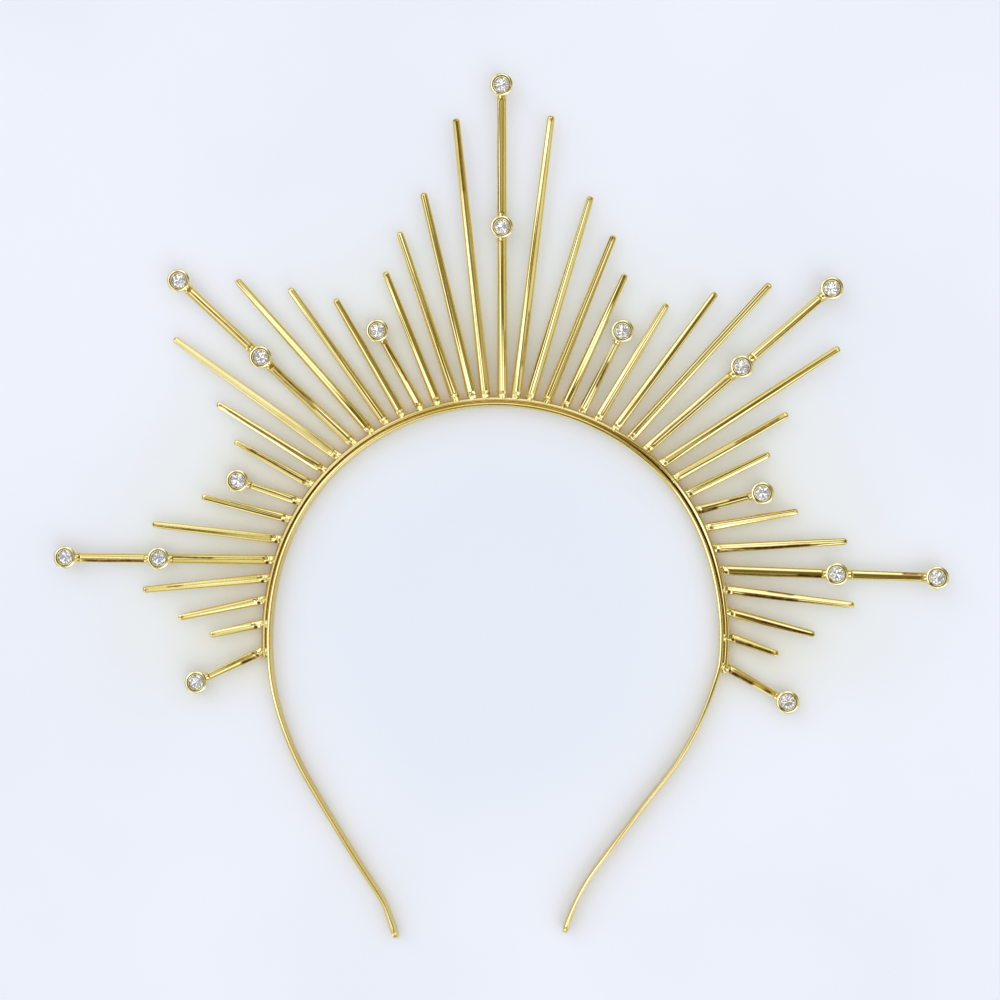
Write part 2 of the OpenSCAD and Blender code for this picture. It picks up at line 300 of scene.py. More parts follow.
# %% Gold finish
def gold_finish():
    material, start, place = new_finish("gold_plate")
    tarnish_and_painted_light = start.add("Attribute", {"attribute_name": "tarnish_and_painted_light"}, output="Fac")
    painted_sheen_facing = start.add("LayerWeight", {}, {"Blend": 0.5}, output="Facing")

    clouds = start.noise(place, 70.0, 2.0)
    wear = start.noise(place, 700.0, 3.0)
    pits = start.noise(place, 2400.0, 2.0)

    # Brown: painted shade and painted dark reflection in most places, the plate's own brown at joints and
    # tips
    brown = start.maths("MAXIMUM", tarnish_and_painted_light, 0.0) * wear.step(0.2, 0.5, 0.75, 1.0)
    plate = clouds.step(0.35, 0.65).mix(colour(0.92, 0.715, 0.17), colour(0.87, 0.65, 0.13))
    # Painted sheen: the plate is paler where it is seen edge-on, as if mirroring the pale board
    plate = painted_sheen_facing.step(0.30, 0.75).mix(plate, colour(0.92, 0.79, 0.34))
    # Painted highlight: below nought, on the cups' rims, the plate is paler
    plate = tarnish_and_painted_light.step(-1.0, 0.0, 1.0, 0.0).mix(plate, colour(0.93, 0.765, 0.235))
    amber = brown.step(0.0, 0.5).mix(plate, colour(0.50, 0.305, 0.05))
    base = brown.step(0.35, 0.95).mix(amber, colour(0.10, 0.042, 0.003))
    rough = 0.06 + 0.06 * wear.step(0.4, 0.7) + 0.2 * brown
    relief = start.add("Bump", {}, {"Strength": 0.3, "Distance": 0.02 * MM,
                                    "Height": wear * 0.6 + pits.step(0.3, 0.6) * 0.4})
    start.surface({
        "Base Color": base, "Metallic": 1.0, "Roughness": rough, "Normal": relief,
        "Specular Tint": colour(1.0, 0.86, 0.55),
        "Coat Weight": 0.2 - 0.2 * brown, "Coat Roughness": 0.06})
    return material


gold = gold_finish()
print("gold:", len(gold.node_tree.nodes), "nodes")

# %% [markdown]
# ## From arrays to a mesh
#
# Every metal piece here is a tube: rings of points, one after another, joined by four-sided faces
# and closed at both ends by a fan of triangles round a middle point. Blender's own primitives
# could be bent into shape, but a grid of rings worked out as one array keeps the whole form in a
# formula, and the faces follow from plain counting.

# %% Tubes from rings
def tube_faces(rings, points, start=0):
    """Faces of a closed tube whose points are numbered ring by ring from start, with the two
    middle points of the ends after them. Rings run anticlockwise seen from the far end."""
    ring, point = np.meshgrid(np.arange(rings - 1), np.arange(points), indexing="ij")
    after = (point + 1) % points
    walls = np.stack([ring * points + point, ring * points + after,
                      (ring + 1) * points + after, (ring + 1) * points + point], -1).reshape(-1, 4)
    around = np.arange(points)
    following = (around + 1) % points
    last_ring, first, last = (rings - 1) * points, rings * points, rings * points + 1
    near = np.stack([following, around, np.full(points, first)], -1)
    far = np.stack([around + last_ring, following + last_ring, np.full(points, last)], -1)
    return (walls + start).tolist() + (near + start).tolist() + (far + start).tolist()


def put_together(name, tubes, browns=None):
    """One smooth gold object from a list of arrays of rings, each rings by points by 3, in mm.
    Browns holds each tube's tarnish and painted light, as a number or as an array of rings by points."""
    places, tarnish_and_painted_light, faces, count = [], [], [], 0
    for rings, brown in zip(tubes, browns or [0.0] * len(tubes)):
        amounts = np.broadcast_to(brown, rings.shape[:2])
        faces += tube_faces(rings.shape[0], rings.shape[1], count)
        places += [rings.reshape(-1, 3), rings[[0, -1]].mean(axis=1)]
        tarnish_and_painted_light += [amounts.reshape(-1), amounts[[0, -1]].mean(axis=1)]
        count += rings.shape[0] * rings.shape[1] + 2
    mesh = bpy.data.meshes.new(name)
    mesh.from_pydata(np.concatenate(places) * MM, [], faces)
    mesh.polygons.foreach_set("use_smooth", np.ones(len(mesh.polygons), bool))
    painted = mesh.attributes.new("tarnish_and_painted_light", "FLOAT", "POINT")
    painted.data.foreach_set("value", np.concatenate(tarnish_and_painted_light))
    mesh.materials.append(gold)
    piece = bpy.data.objects.new(name, mesh)
    scene.collection.objects.link(piece)
    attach(piece, "root")
    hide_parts("crown_frame")
    print(name, len(tubes), "tubes,", len(mesh.polygons), "faces")


def rounded_bar(wide, high, corner, per_corner=6):
    """A bar's section as points (across, up) round the middle, anticlockwise: quarter circles of
    radius corner about the four inner corners, joined by straight sides."""
    turn = np.radians(np.linspace(0, 90, per_corner))
    quarter = np.concatenate([turn + np.pi / 2 * k for k in range(4)])
    middle_x = np.repeat([1, -1, -1, 1], per_corner) * (wide / 2 - corner)
    middle_y = np.repeat([1, 1, -1, -1], per_corner) * (high / 2 - corner)
    return np.stack([middle_x + corner * np.cos(quarter), middle_y + corner * np.sin(quarter)], -1)


# %% [markdown]
# ## The head strip
#
# The strip is flat spring metal, 5 mm wide and 1.2 mm thick, standing on its edge. It runs in a
# half circle over the head and on into two arms, whose ends turn outwards in round tongues. Its
# heading turns evenly along each stretch, so the path is the running sum of the heading's cosine
# and sine. A curve with a bevel could carry the section, but the tongues need the section to
# shrink as a half circle, which a formula does exactly. The upper edge is slightly domed, as
# rolled strip is, and its crest wanders, which breaks the long highlight up.

# %% Path of an arm
strip_r, strip_thick, strip_wide = 68.4, 1.2, 5.0
# Stretches of each arm from the top of the head: run in mm and turn in degrees
left_arm = np.array([(114.61, 96), (14, 8), (26, 16.5), (40, 3.5), (6, -15), (6, 0)])
right_arm = np.array([(115.80, 97), (2, 9.5), (9, 2.5), (28, 19), (33, -1), (18, -17.5), (2, 0)])
# Angles from the top in degrees, and how far the band is bent outwards there in mm
bend_at = [-106, -101, -96, -91, -80, -50, -20, 20, 50, 79, 92, 98, 102]
bend_by = [0, -0.15, -0.6, -0.9, -1.1, -0.5, -0.45, 0.1, 0.6, -0.45, -0.35, -0.15, 0]


def bend(angle):
    """How far the springy band is bent out of its circle at an angle from the top: the mean of the
    list's straight lines over eight degrees, which rounds its corners."""
    return np.mean([np.interp(angle + step, bend_at, bend_by) for step in np.linspace(-4, 4, 9)], axis=0)


def arm_path(arm, fine=0.1):
    """Outward run, drop and heading along an arm, every tenth of a millimetre from the top of the
    head to the end of its tongue: the heading is even between the stretches' ends."""
    runs = np.concatenate([[0], np.cumsum(arm[:, 0]), [arm[:, 0].sum() + strip_wide / 2]])
    turns = np.concatenate([[0], np.cumsum(arm[:, 1]), [arm[:, 1].sum()]])
    along = np.linspace(0, runs[-1], int(runs[-1] / fine) + 1)
    heading = np.radians(np.interp(along, runs, turns))
    middle = (heading[1:] + heading[:-1]) / 2
    out = np.concatenate([[0], np.cumsum(np.cos(middle) * np.diff(along))])
    drop = np.concatenate([[0], np.cumsum(np.sin(middle) * np.diff(along))])
    return along, out, drop, heading


def arm_stations(length, tongue, spacing=1.5, in_tongue=12):
    """Distances at which rings stand: evenly along the arm, then closer and closer in the tongue,
    as the sine of an even turn."""
    even = np.linspace(0, length - tongue, int((length - tongue) / spacing))
    turn = np.linspace(0, np.pi / 2, in_tongue + 1)[1:-1]
    return np.concatenate([even, length - tongue + tongue * np.sin(turn)])


print("arms:", [round(float(arm[:, 0].sum() + strip_wide / 2), 1) for arm in (left_arm, right_arm)], "mm")


# %% How the strip is domed, and shaded in its seam
comb_end = 100


def seam_shade_at(degrees):
    """How strongly the seam is darkened with painted shade at angles from the top: least over the head and
    most half way down.
    """
    return np.interp(degrees, [-97, -80, -55, -35, -15, 15, 35, 55, 75, 100],
                     [0.45, 0.55, 1.0, 0.65, 0.42, 0.35, 0.65, 0.95, 0.65, 0.4])


def domed(section, degrees, dome=0.10):
    """Heights of the strip's section, whose upper edge falls away from its crest as a parabola. The
    strip is a little twisted, so the crest lies outwards at the right, inwards where the arms begin,
    and outwards again near the end of the right arm."""
    crest = np.interp(degrees, [-118, -100, 25, 45, 62, 80, 100, 115, 138, 155],
                      [-0.5, -0.12, -0.12, 0.5, 0.5, 0.25, 0.1, -0.45, -0.4, 0.35])
    fall = dome * ((section[None, :, 0] - crest[:, None]) / (strip_thick / 2)) ** 2
    return section[None, :, 1] - np.where(section[None, :, 1] > 2, fall, 0)


def strip_warmth(degrees):
    """Brown of the open strip: on the left and on both arms its plate is a deeper gold."""
    return np.interp(degrees, [-170, -125, -102, -90, -70, -58, 105, 130],
                     [0.08, 0.18, 0.10, 0.17, 0.15, 0.03, 0.03, 0.18])


# %% Head strip
strip_corner = 0.3
# The seam's painted shade lies on the outer face: further out and lower than this, from the middle
seam_side, seam_top = 0.45, 2.15
dipped_more, dipped_run, dipped_fade = 0.28, 9, 5


def half_strip(arm, side, section):
    """Rings of one half of the strip. Across is the section's first number, measured outwards at
    right angles to the heading, and up its second. In the tongue the section's height shrinks as
    the height of a half circle does, and its last 9 mm are dipped a little thicker. The bend moves
    the whole section outwards."""
    along, out, drop, heading = arm_path(arm)
    tongue = strip_wide / 2
    stations = arm_stations(along[-1], tongue)
    x, y, h = (np.interp(stations, along, values) for values in (out, drop, heading))
    past = np.clip((stations - (along[-1] - tongue)) / tongue, 0, 1)
    tall = np.sqrt(1 - past ** 2)[:, None]
    degrees = side * np.degrees(stations / strip_r)
    thicker = 1 + dipped_more * np.clip((stations - along[-1] + dipped_run) / dipped_fade, 0, 1)[:, None]
    away = section[None, :, 0] * thicker * (0.6 + 0.4 * np.sqrt(tall)) + bend(degrees)[:, None]
    across = side * (x[:, None] + away * np.sin(h)[:, None])
    back = strip_r - y[:, None] + away * np.cos(h)[:, None] + head_mm
    up = strip_wide / 2 + domed(section, degrees) * tall
    in_comb = np.clip((comb_end - abs(degrees)) / 3, 0, 1)[:, None]
    in_seam = (section[:, 0] > seam_side) & (section[:, 1] < seam_top)
    # Painted shade in the seam, on the strip's outer face under the rail
    seam = seam_shade_at(degrees)[:, None] * in_comb * in_seam[None, :]
    brown = np.maximum(seam, strip_warmth(degrees)[:, None])
    return np.stack(np.broadcast_arrays(across, back, up), -1), brown


strip_bar = rounded_bar(strip_thick, strip_wide, strip_corner)
strip_flat = strip_thick / 2 - strip_corner
strip_edge = np.linspace(strip_flat, -strip_flat, 9)[1:-1]
strip_section = np.concatenate([
    strip_bar[:6], np.stack([strip_edge, np.full(7, strip_wide / 2)], -1), strip_bar[6:]])
(left_half, left_brown), (right_half, right_brown) = (
    half_strip(arm, side, strip_section) for arm, side in ((left_arm, -1), (right_arm, 1)))
put_together("head_strip", [np.concatenate([left_half[:0:-1], right_half])],
             [np.concatenate([left_brown[:0:-1], right_brown])])

# %% [markdown]
# ## The rail
#
# The comb's rays stand on a thin curved rail, half a millimetre outside the strip, so that a dark
# line runs between the two. It could be a curve with a bevel, but its section has a shape of its
# own: the crest is near the strip, the back falls away outwards, and a low foot reaches in under
# the seam. The side by the seam is darkened with painted shade, and the back a little. At the
# right the rail is twisted, so its crest lies outwards there. So the section is a list of points,
# carried round an arc while its heights change.

# %% Rail
rail_inner, rail_thick = 69.5, 1.3
rail_left, rail_right = -96.6, 99.8
# Points across and up, anticlockwise from the low outer corner
rail_section = np.array([
    (0.62, 2.62), (0.65, 3.0), (0.64, 3.45), (0.56, 3.72), (0.38, 3.86), (0.15, 3.96),
    (-0.10, 4.04), (-0.30, 4.09), (-0.44, 4.08), (-0.54, 4.02), (-0.61, 3.92), (-0.65, 3.76),
    (-0.65, 3.62), (-0.67, 3.52), (-0.72, 3.47), (-1.00, 3.44), (-1.07, 3.37), (-1.07, 2.7),
    (-1.02, 2.6), (-0.4, 2.52), (0.1, 2.5), (0.5, 2.53)])
# The same points' heights where the rail is twisted
rail_right_up = np.array([
    2.62, 3.35, 3.82, 4.00, 4.08, 4.07, 4.02, 3.95, 3.91, 3.87, 3.81, 3.72, 3.6, 3.52,
    3.47, 3.44, 3.37, 2.7, 2.6, 2.52, 2.5, 2.53])
# Painted shade on the rail's side that faces the strip
seam_painted_shade = np.interp(rail_section[:, 0], [-0.64, -0.60], [1, 0]) * (rail_section[:, 1] < 3.8)
# Painted shade on the rail's back, the side turned away from the light
back_painted_shade = np.interp(rail_section[:, 0], [-0.6, -0.3, 0.5], [0.06, 0.14, 0.2])
back_painted_shade = back_painted_shade * (rail_section[:, 1] > 2.7)


def rail_painted_shade(degrees):
    """The rail's painted shade: in its seam, and a fainter one on its back that is least on the right."""
    back = np.interp(degrees, [-60, -30, 20, 50], [2.0, 1.3, 1.4, 0.6])
    return np.maximum(seam_shade_at(degrees)[:, None] * seam_painted_shade, back[:, None] * back_painted_shade)


def arc_bar(section, radius, first, last, count):
    """Angles and rings of a bar along an arc over the head, from one angle to another, in degrees
    from the top. The section, across and up, shrinks like a quarter circle over the last half
    millimetre of each end, and takes its twisted heights at the right."""
    ends = np.array([0, 0.04, 0.12, 0.25])
    between = np.linspace(first + 0.45, last - 0.45, count)
    degrees = np.concatenate([first + ends, between, last - ends[::-1]])
    angle = np.radians(degrees)[:, None]
    to_end = np.minimum(angle - angle[0], angle[-1] - angle) * radius
    size = np.sqrt(1 - (1 - np.clip(to_end / 0.5, 0, 1)) ** 2) * 0.85 + 0.15
    middle = section.mean(axis=0)
    out = radius + bend(degrees)[:, None] + middle[0] + (section[None, :, 0] - middle[0]) * size
    twisted = np.interp(degrees, [28, 45, 62, 85], [0, 1, 1, 0.35])[:, None]
    tall = section[None, :, 1] + twisted * (rail_right_up - section[:, 1])[None, :]
    up = middle[1] + (tall - middle[1]) * size
    across, back = out * np.sin(angle), out * np.cos(angle) + head_mm
    return degrees, np.stack(np.broadcast_arrays(across, back, up), -1)


rail_degrees, rail_rings = arc_bar(rail_section, rail_inner + rail_thick / 2, rail_left, rail_right, 240)
put_together("comb_rail", [rail_rings], [rail_painted_shade(rail_degrees)])

# %% [markdown]
# ## The table of rays
#
# The rays differ in length and lean, and no two neighbours are quite alike, because the comb was
# bent and soldered by hand. One row for each pair holds both sides: the angle of each foot round
# the head, each ray's own lean from straight up, its length, and where it carries cups. Angles
# are in degrees and lengths in mm.

# %% Rays, as rows from the middle outwards
foot_left, foot_right, lean_left, lean_right, length_left, length_right, cup_middle, cup_end = range(8)
rays = np.array([
    (-2.3, 2.3, 0, 0, 92.2, 92.2, 50, 1), (1.8, 5.6, 6, 7.3, 83, 84, 0, 0),
    (5, 9, 13.5, 17, 62.5, 62.5, 0, 0), (9.2, 13.2, 18.5, 22.2, 52.5, 53, 0, 0),
    (13.7, 17.7, 21.7, 24.8, 42, 43, 0, 0), (18, 22, 29, 27, 26, 26.8, 0, 1),
    (22.8, 26.3, 30, 31, 39.8, 39.8, 0, 0), (27.2, 31, 35.7, 36.7, 49.3, 50, 0, 0),
    (31.5, 35.3, 41.5, 42.3, 60.5, 61.5, 0, 0), (36.7, 40, 47, 49, 71.4, 72.4, 37.5, 1),
    (41.7, 45, 54.3, 56.9, 60.5, 62.6, 0, 0), (46.5, 49.7, 58, 60.2, 37.5, 38.5, 0, 0),
    (51.1, 54.5, 61, 64, 26, 27.2, 0, 0), (56.3, 59, 71.6, 75.4, 18.9, 19.8, 0, 1),
    (61.3, 63.7, 76, 80, 26.5, 27.3, 0, 0), (66.9, 69.2, 83.3, 86.8, 38, 38.6, 0, 0),
    (72.3, 74.7, 89.4, 91.8, 61.8, 62.5, 33.3, 1), (77, 79.5, 95.5, 96.8, 37, 37.4, 0, 0),
    (82.5, 85, 102, 104.5, 25.3, 25.5, 0, 0), (88.3, 91, 102.7, 109.5, 15, 14.6, 0, 0),
    (95.2, 98.4, 115.3, 119.6, 20.8, 19.7, 0, 1)])
foot_reach, ray_back, ray_rise = 71.2, 2.8, 1.5
places = [(1, 0)] + [(side, row) for row in range(1, len(rays)) for side in (-1, 1)]


def of_ray(side, row, left_column):
    """A value of the ray on that side, -1 left and 1 right. The right column follows the left."""
    return rays[row, left_column + (side > 0)]


def at_ray(side, row, local):
    """Points in the crown's own millimetres, from points beside a ray: first across it, second
    along it from its foot and third up from its flat back. The ray rises a little to its tip."""
    foot = np.radians(of_ray(side, row, foot_left))
    lean = np.radians(-side * of_ray(side, row, lean_left))
    rise = np.radians(ray_rise)
    across, along, up = np.moveaxis(local, -1, 0)
    along, up = along * np.cos(rise) - up * np.sin(rise), along * np.sin(rise) + up * np.cos(rise)
    return np.stack([side * foot_reach * np.sin(foot) + across * np.cos(lean) - along * np.sin(lean),
                     head_mm + foot_reach * np.cos(foot) + across * np.sin(lean) + along * np.cos(lean),
                     ray_back + up], -1)


cup_count = int(sum((rays[row, cup_middle] > 0) + rays[row, cup_end] for _, row in places))
print(len(places), "rays,", cup_count, "cups")

# %% [markdown]
# ## One ray
#
# A ray is a half round bar that tapers to a bullet tip. Its foot runs on to the rail, with a small
# cast bead on it and a pit, which is darkened with painted shade. A cylinder cut in half would
# mirror the light as one ruler-straight line in the middle. The castings were filed and bent by
# hand, so the crest lies to one side and wanders along the ray, and that is what makes the bright
# line slide and narrow.
# Crests and flutes are drawn at random from a fixed seed, so each run files the rays alike.

# %% Where each crest lies
arch_points, back_points, edge = 41, 5, 0.12
rng = np.random.default_rng(41)


def crest_along(row, part):
    """The crest's place across a ray, as a share of its half width, at parts of its length from 0
    to 1: three random places, for foot, middle and tip, joined by a parabola, and a slow ripple.
    Rays low on the sides lean it to the right. On the middle ray it runs from right to left."""
    leaning = np.interp(row, [0, 7, 11, 20], [0.1, 0.0, 0.45, 0.55])
    foot, middle, tip = leaning + rng.uniform(-0.45, 0.45, 3) if row > 0 else (0.5, -0.2, -0.7)
    smooth = foot * (1 - part) * (1 - 2 * part) + 4 * middle * part * (1 - part)
    smooth = smooth + tip * part * (2 * part - 1)
    waves = rng.uniform(3, 9, 2)
    phase = rng.uniform(0, 2 * np.pi, 2)
    ripple = 0.03 * np.sin(waves[0] * part + phase[0]) + 0.02 * np.sin(3.1 * waves[1] * part + phase[1])
    return np.clip(smooth + ripple, -0.8, 0.8)


def filed_flutes():
    """Shallow hollows of one ray, as a hand file leaves them: their height in mm, the waves across
    the ray in radians for each half width, the wave's phase at the foot and at the tip, and how
    square the arch is, from 2 for an ellipse up."""
    phase = rng.uniform(-np.pi, np.pi)
    return (rng.uniform(0.02, 0.07), rng.uniform(3.5, 9), phase, phase + rng.uniform(-2.5, 2.5),
            rng.uniform(1.9, 2.5))


def half_round(wide, high, crest, flute, phase):
    """Rings of sections, one for each half width. The arch is two quarter superellipses that meet
    at the crest: across is the crest's place plus the run to that side times c, the cosine of an
    even turn, and up is the height times (1 - c^n)^(1/n), with n the squareness. A cosine across
    it makes the flutes, and fades to nothing at both edges."""
    turn = np.linspace(0, np.pi, arch_points)[None, :]
    wide, high, crest, phase = (value[:, None] for value in (wide, high, crest, phase))
    run = np.where(turn < np.pi / 2, 1 - crest, 1 + crest)
    across = crest + run * np.cos(turn)
    rounding = (1 - np.abs(np.cos(turn)) ** flute[4]) ** (1 / flute[4])
    ridges = flute[0] * np.cos(flute[1] * across + phase) * (1 - across ** 2) * np.minimum(wide, 1)
    up = edge + (high - edge) * rounding + ridges
    under = np.linspace(-1, 1, back_points)[None, :] * (1 - edge / wide)
    shares = np.concatenate([across, np.broadcast_to(under, (len(wide), back_points))], 1)
    return shares, shares * wide, np.concatenate([up, np.zeros((len(wide), back_points))], 1)


# %% [markdown]
# ## Marks on the rays
#
# Dark lines along some rays are painted reflections, and each foot has a cast bead and a pit that
# is darkened with painted shade. A noise would spread such marks evenly. They sit where the mirror
# image darkens and where shade falls, so each is listed: along its ray in mm, and across it in mm
# or, for a line, as a share of the half width.

# %% Painted dark reflections
# Each painted dark reflection: side, row, from and to along the ray in mm, place across it, half width and
# strength.
dark_reflection_lines = [
    (1, 0, 53, 88, -0.75, 0.18, 0.5), (1, 0, 8, 20, 0.6, 0.2, 0.4), (1, 1, 8, 26, 0.55, 0.2, 0.55),
    (1, 5, 8, 17, 0.35, 0.3, 0.95), (1, 9, 2, 33, -0.15, 0.2, 0.7), (1, 11, 20, 36, -0.1, 0.36, 0.7),
    (1, 13, 0.2, 6.5, 0.52, 0.38, 1.0), (1, 13, 9, 16, -0.35, 0.25, 0.95), (1, 15, 0.4, 8, 0.6, 0.2, 0.8),
    (1, 15, 7, 28, 0.45, 0.36, 1.0), (1, 16, 2, 22, 0.72, 0.2, 0.6), (1, 16, 21, 30, 0.5, 0.34, 1.0),
    (1, 16, 52, 58, -0.62, 0.25, 0.8), (1, 17, 4, 21, 0.5, 0.38, 1.0), (1, 17, 11, 20, -0.75, 0.24, 0.7),
    (1, 18, 7, 26, 0.25, 0.34, 0.95), (1, 18, 2, 8, 0.0, 0.2, 0.7), (1, 19, 0.5, 13.8, 0.22, 0.42, 1.0),
    (1, 20, 0.3, 8.8, 0.45, 0.42, 1.0), (1, 20, 11, 15, 0.1, 0.4, 0.85), (-1, 1, 60, 83, 0.1, 0.4, 0.5),
    (-1, 5, 8, 22, 0.3, 0.25, 0.75), (-1, 9, 16, 34, 0.45, 0.2, 0.85), (-1, 9, 14, 33, -0.25, 0.16, 0.7),
    (-1, 9, 42, 66, 0.1, 0.2, 0.6), (-1, 11, 2, 34, -0.1, 0.18, 0.75), (-1, 12, 1, 22, 0.0, 0.22, 0.95),
    (-1, 12, 18, 21, 0.1, 0.4, 0.9), (-1, 16, 16, 30, 0.3, 0.2, 0.85), (-1, 16, 37, 57, -0.62, 0.28, 0.95),
    (-1, 17, 24, 30, 0.1, 0.2, 0.8), (-1, 20, 0.6, 6.5, -0.55, 0.36, 1.0)]


def dark_reflections_along(side, row, y, across):
    """Painted dark reflections on one ray: for each of its lines a bell curve across, with ends that
    fade over a millimetre and a strength that comes and goes along the line."""
    brown = np.zeros_like(across)
    for line in dark_reflection_lines:
        if line[:2] == (side, row):
            _, _, first, last, middle, wide, strength = line
            inside = np.clip(np.minimum(y - first, last - y), 0, 1)
            uneven = 0.85 + 0.15 * np.sin(y * 1.9 + first) * np.sin(y * 0.7 + last)
            drift = middle + 0.06 * np.sin(y / 3 + last)
            bell = np.clip(1.5 * np.exp(-((across - drift[:, None]) / wide) ** 2) - 0.15, 0, 1)
            brown = np.maximum(brown, strength * (inside * uneven)[:, None] * bell)
    return brown


# %% Beads and pits at the feet
# Left and right ray of each row: the bead's places along and across in mm, then the pit's two and
# how deep the pit is and how dark its painted shade.
foot_marks = np.array([
    (-0.2, 0.7, 0.4, -0.9, 0.0, -0.2, 0.7, 0.4, -0.9, 0.2),
    (-0.4, 0.8, 0.4, 0.9, 0.5, 0.1, 0.75, -0.2, -0.2, 0.3),
    (0.0, -0.6, 0.3, 0.2, 0.5, 0.2, 0.8, -0.3, -0.6, 0.3),
    (-0.1, 0.7, 0.3, 1.1, 0.4, 0.9, 0.4, 0.3, -0.5, 0.4),
    (0.3, -0.5, 0.4, 0.4, 0.7, 1.2, 0.9, 0.0, -0.2, 0.6),
    (0.6, 0.3, 0.6, -0.6, 0.6, 1.1, 0.35, 0.4, -0.3, 0.5),
    (0.0, 0.7, 0.2, -0.3, 0.4, 1.2, 0.45, 0.9, -0.5, 0.5),
    (0.0, 0.5, 0.1, -0.4, 0.4, 1.2, 0.1, 0.85, -0.5, 0.5),
    (0.2, 0.3, -0.2, -0.6, 0.4, 1.7, 0.9, 1.0, 0.0, 0.7),
    (0.6, -0.4, -0.3, -0.6, 0.5, 2.0, 0.9, 0.7, 0.4, 0.7),
    (1.2, -0.3, 0.2, -0.5, 0.6, 1.4, -0.4, 1.1, 0.5, 0.8),
    (1.1, -0.6, 0.0, -0.5, 0.6, 1.4, 0.3, 1.2, 0.3, 0.5),
    (1.0, -0.9, 1.6, -0.6, 0.6, 1.5, 0.7, 1.05, 0.35, 0.9),
    (0.7, -0.5, 0.3, -1.0, 0.8, -0.3, -0.3, 0.4, 0.7, 1.0),
    (1.1, -0.7, 0.6, -0.9, 0.7, 0.1, -0.2, 1.2, 0.3, 0.7),
    (0.9, -0.2, -0.1, -0.85, 0.9, 0.2, -0.6, 0.6, 0.7, 0.9),
    (0.9, -0.3, 0.3, -0.85, 1.0, 0.0, 0.3, 0.9, 0.6, 1.0),
    (0.9, -0.4, 0.3, -0.85, 1.0, -0.1, 0.3, 0.4, 0.55, 1.0),
    (-0.3, 0.2, 0.3, -0.6, 1.0, -0.4, 0.0, 0.4, 0.2, 0.9),
    (-0.2, 0.1, 0.7, -0.65, 1.0, -0.1, 0.1, 0.6, 0.4, 0.9),
    (-0.1, 0.2, 0.6, -0.6, 0.9, -0.3, 0.2, 0.5, 0.5, 0.9)])
bead_high, bead_wide, pit_deep, pit_wide = 0.07, 0.55, 0.12, 0.52
print(len(dark_reflection_lines), "brown lines,", 2 * len(foot_marks) - 1, "beads and pits")


def foot_bells(side, row, y, across):
    """Bead and pit of one foot as round bell curves, and how deep its pit is and how dark its painted shade.
    """
    bead_y, bead_x, pit_y, pit_x, pit_depth_and_shade = foot_marks[row, 5:] if side > 0 else foot_marks[row, :5]
    bead = np.exp(-((y[:, None] - bead_y) ** 2 + (across - bead_x) ** 2) / bead_wide ** 2)
    pit = np.exp(-((y[:, None] - pit_y) ** 2 + (across - pit_x) ** 2) / pit_wide ** 2)
    return bead, pit, pit_depth_and_shade


# %% [markdown]
# ## From foot to tip
#
# Now the sections become bars. A ray starts with a short root on the rail, tapers in a straight
# line and closes in a blunt tip. It could run on under its cups, but it would then come up through
# the bowls, so the bar stops inside each cup's wall and starts again past it.

# %% Widths of a ray
middle_half, plain_half, plain_tip, long_tip, stouter = 1.5, 1.3, 0.9, 1.35, 0.003
low_arch, high_arch, share_low = 0.72, 0.92, 0.27


def ray_halves(side, row):
    """Half width of a ray above its foot and at its tip: longer rays are a little stouter."""
    length = of_ray(side, row, length_left)
    foot = middle_half if row == 0 else plain_half + stouter * length
    tip = long_tip if rays[row, cup_middle] > 0 else plain_tip + stouter * length
    return foot, tip


def carried(side, row):
    """Distances along a ray at which it carries cups."""
    found = [rays[row, cup_middle]] if rays[row, cup_middle] > 0 else []
    return found + ([of_ray(side, row, length_left)] if rays[row, cup_end] else [])


# %% Foot, bar and tip
root, cup_out, in_cup = 1.2, 3.4, 0.5
taper_from, blunt_power, blunt_long = 2.0, 2.4, 1.15
# The waist's place and length along the ray in mm, and the shares that it takes off width and arch
waist_at, waist_long, waist_thin, waist_low = 0.1, 0.7, 0.08, 0.16
spot_long, spot_wide = 0.45, 0.45


def ray_stations(start, length, blunt):
    """Distances along a ray at which its rings stand: close together at the foot, wide apart on
    the bar, and closer and closer in the tip, as the sine of an even turn."""
    near = np.concatenate([[start, start + 0.08, start + 0.2], np.arange(start + 0.35, 2.9, 0.11)])
    bar = np.linspace(3.0, length - blunt, int((length - blunt - 3) / 1.1))
    tip = length - blunt * (1 - np.sin(np.radians(np.linspace(8, 88, 12))))
    return np.concatenate([near, bar, tip])


